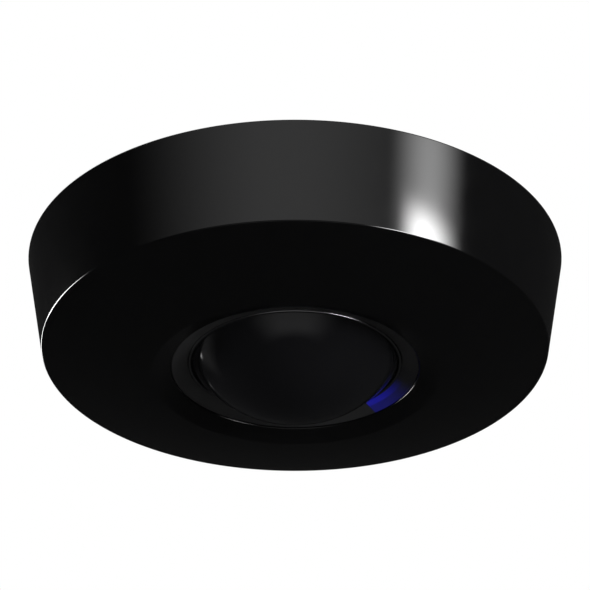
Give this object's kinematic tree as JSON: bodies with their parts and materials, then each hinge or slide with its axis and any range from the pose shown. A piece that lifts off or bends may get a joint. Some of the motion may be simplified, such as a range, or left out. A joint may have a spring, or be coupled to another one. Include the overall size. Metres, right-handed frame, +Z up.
{
  "type": "lidar scanner module",
  "caption": "Overhead dome scanner module: tapered black housing, recessed light ring, dark dome over a spinning optical head, twist-lock mount plate.",
  "frame": {"origin": "centre of the mount plate's back face, where the module meets the surface it hangs from", "axes": "+Z up into the mounting surface, along the scan head's spin axis; the dome faces -Z; +Y towards the cable window"},
  "size_m": [0.12, 0.12, 0.0374],
  "materials": {
    "gloss_black": "polished black moulding",
    "dome_black": "polished infrared-pass plastic, near black",
    "ring_grey": "matt, faintly speckled light guide",
    "status_blue": "light guide lit from behind",
    "plate_plastic": "fine moulded texture",
    "cast_alloy": "fine cast and blasted",
    "turned_alloy": "turned",
    "dark_alloy": "anodised, matt",
    "frame_plastic": "fine moulded texture",
    "seal_rubber": "smooth moulded",
    "screw_steel": "zinc plated",
    "board_green": "solder mask",
    "chip_black": "moulded package",
    "led_white": "moulded package",
    "pad_grey": "soft pad",
    "tinned_steel": "tinned sheet",
    "can_sleeve": "sleeve",
    "ferrite": "sintered",
    "socket_plastic": "moulded",
    "gold": "gold plated",
    "lamination": "stacked sheet",
    "copper_wire": "enamelled wire",
    "flex_amber": "film",
    "bearing_steel": "ground",
    "cage_brass": "stamped",
    "spring_steel": "blued",
    "cup_steel": "turned",
    "magnet": "nickel plated",
    "encoder_alloy": "etched",
    "head_black": "fine moulded texture",
    "lens_glass": "coated",
    "tungsten": "sintered"
  },
  "bodies": {
    "mount": {"mount_plate": "plate_plastic"},
    "housing": {"rear_base": "cast_alloy", "base_screws": "screw_steel", "base_seal": "seal_rubber", "housing_shell": "gloss_black", "light_ring": "ring_grey", "status_window": "status_blue", "bezel_ring": "gloss_black", "dome_window": "dome_black", "dome_seal": "seal_rubber", "window_frame": "frame_plastic", "window_frame_screws": "screw_steel", "led_board": "board_green", "status_leds": "led_white", "link_connector": "chip_black", "main_board": "board_green", "board_screws": "screw_steel", "processor": "chip_black", "thermal_pad": "pad_grey", "shield_can": "tinned_steel", "capacitors": "can_sleeve", "inductors": "ferrite", "network_transformer": "chip_black", "network_socket": "socket_plastic", "socket_contacts": "gold", "motor_base": "turned_alloy", "motor_base_screws": "screw_steel", "stator_core": "lamination", "stator_windings": "copper_wire", "motor_flex": "flex_amber", "motor_socket": "socket_plastic", "bearing_outer_races": "bearing_steel", "preload_washer": "spring_steel", "power_coil_fixed": "copper_wire", "encoder_sensor": "chip_black", "data_link_sensor": "chip_black"},
    "rotor": {"bearing_inner_races": "bearing_steel", "rotor_shaft": "bearing_steel", "shaft_circlip": "spring_steel", "rotor_cup": "cup_steel", "rotor_magnets": "magnet", "turntable": "dark_alloy", "turntable_screws": "screw_steel", "power_coil_rotor": "copper_wire", "encoder_ring": "encoder_alloy", "data_link_emitter": "chip_black", "head_board": "board_green", "optics_block": "dark_alloy", "receiver_barrel": "dark_alloy", "receiver_lens": "lens_glass", "detector_board": "board_green", "emitter_barrel": "dark_alloy", "emitter_lens": "lens_glass", "laser_diode": "gold", "balance_weight": "tungsten", "head_cover": "head_black"},
    "ball_sets": {"bearing_balls": "bearing_steel", "bearing_cages": "cage_brass"}
  },
  "joints": [
    {"name": "twist_lock", "type": "hinge", "parent": "mount", "child": "housing", "pos_m": [0, 0, 0], "axis": [0, 0, 1], "range_deg": [0, 14]},
    {"name": "head_spin", "type": "hinge", "parent": "housing", "child": "rotor", "pos_m": [0, 0, -0.015], "axis": [0, 0, 1], "continuous": true},
    {"name": "ball_orbit", "type": "hinge", "parent": "housing", "child": "ball_sets", "pos_m": [0, 0, -0.011], "axis": [0, 0, 1], "continuous": true}
  ],
  "couplings": [
    {"joint": "ball_orbit", "follows": "head_spin", "ratio": 0.4}
  ]
}
